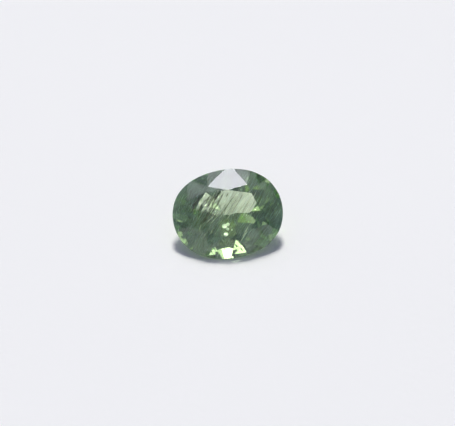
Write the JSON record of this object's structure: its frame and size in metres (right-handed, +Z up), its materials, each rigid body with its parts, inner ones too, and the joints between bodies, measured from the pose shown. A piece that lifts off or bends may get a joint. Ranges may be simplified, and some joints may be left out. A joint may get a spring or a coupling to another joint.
{
  "type": "oval faceted gemstone",
  "caption": "Clear green oval brilliant-cut gemstone with a flat table, a low faceted crown and a deep faceted pavilion, lying tilted on one pavilion facet.",
  "frame": {"origin": "centre of the bounding box's base, on the surface that the stone lies on", "axes": "+X along the stone's length, +Z up; the table leans towards -Y and faces up"},
  "size_m": [0.01, 0.0066, 0.0053],
  "materials": {
    "peridot": "polished, clear, refractive index 1.67"
  },
  "bodies": {
    "root": {"gemstone": "peridot"}
  },
  "joints": []
}
